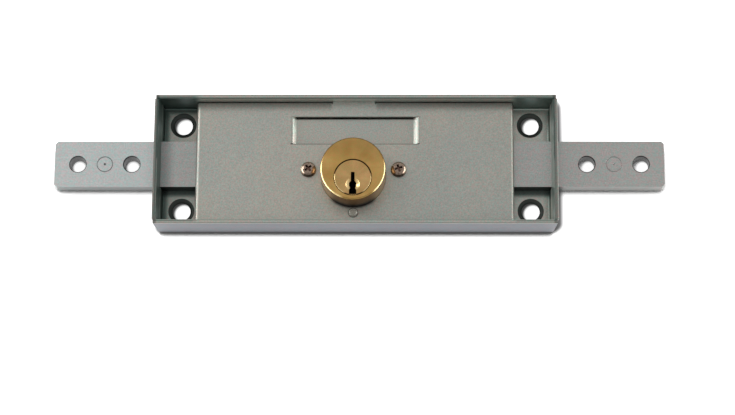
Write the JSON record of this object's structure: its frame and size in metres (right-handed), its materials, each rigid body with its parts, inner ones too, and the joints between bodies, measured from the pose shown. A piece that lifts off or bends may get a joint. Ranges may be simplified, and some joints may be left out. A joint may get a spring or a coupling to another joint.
{
  "type": "roller shutter lock",
  "caption": "Long flat shutter lock: a folded tray with a recessed cover, an off-centre key cylinder and flat bolts sliding out of both ends.",
  "frame": {"origin": "middle of the case's back face", "axes": "+X along the bolts, +Y across the case towards its tabbed wall, +Z out of the case's open face"},
  "size_m": [0.2364, 0.052, 0.0196],
  "materials": {
    "zinc_sheet": "zinc plated sheet, fine-grained satin",
    "bolt_steel": "zinc plated bar, satin",
    "cylinder_brass": "turned brass",
    "plug_brass": "turned brass, paler",
    "screw_plating": "bright nickel plating",
    "inner_steel": "zinc plated, satin",
    "spring_steel": "bare spring steel"
  },
  "bodies": {
    "case": {"case_tray": "zinc_sheet", "cover_plate": "zinc_sheet", "cover_post": "inner_steel", "guide_studs": "inner_steel", "cylinder_housing": "cylinder_brass", "cylinder_screws": "screw_plating", "driver_pins": "plug_brass", "pin_springs": "spring_steel", "chamber_caps": "cylinder_brass"},
    "plug": {"cylinder_plug": "plug_brass", "plug_clip": "spring_steel", "key_pins": "plug_brass", "drive_pinion": "inner_steel", "tail_screw": "inner_steel"},
    "left_bolt_body": {"left_bolt": "bolt_steel", "left_rack": "inner_steel", "left_rack_rivets": "inner_steel"},
    "right_bolt_body": {"right_bolt": "bolt_steel", "right_rack": "inner_steel", "right_rack_rivets": "inner_steel"}
  },
  "joints": [
    {"name": "plug_turn", "type": "hinge", "parent": "case", "child": "plug", "pos_m": [-0.0008, -0.00935, 0.01965], "axis": [0, 0, 1], "range_deg": [0, 360]},
    {"name": "left_bolt_slide", "type": "slide", "parent": "case", "child": "left_bolt_body", "axis": [1, 0, 0], "range_m": [0, 0.02011]},
    {"name": "right_bolt_slide", "type": "slide", "parent": "case", "child": "right_bolt_body", "axis": [-1, 0, 0], "range_m": [0, 0.02011]}
  ],
  "couplings": [
    {"joint": "plug_turn", "follows": "right_bolt_slide", "rad_per_m": 312.5},
    {"joint": "left_bolt_slide", "follows": "right_bolt_slide", "ratio": 1}
  ]
}
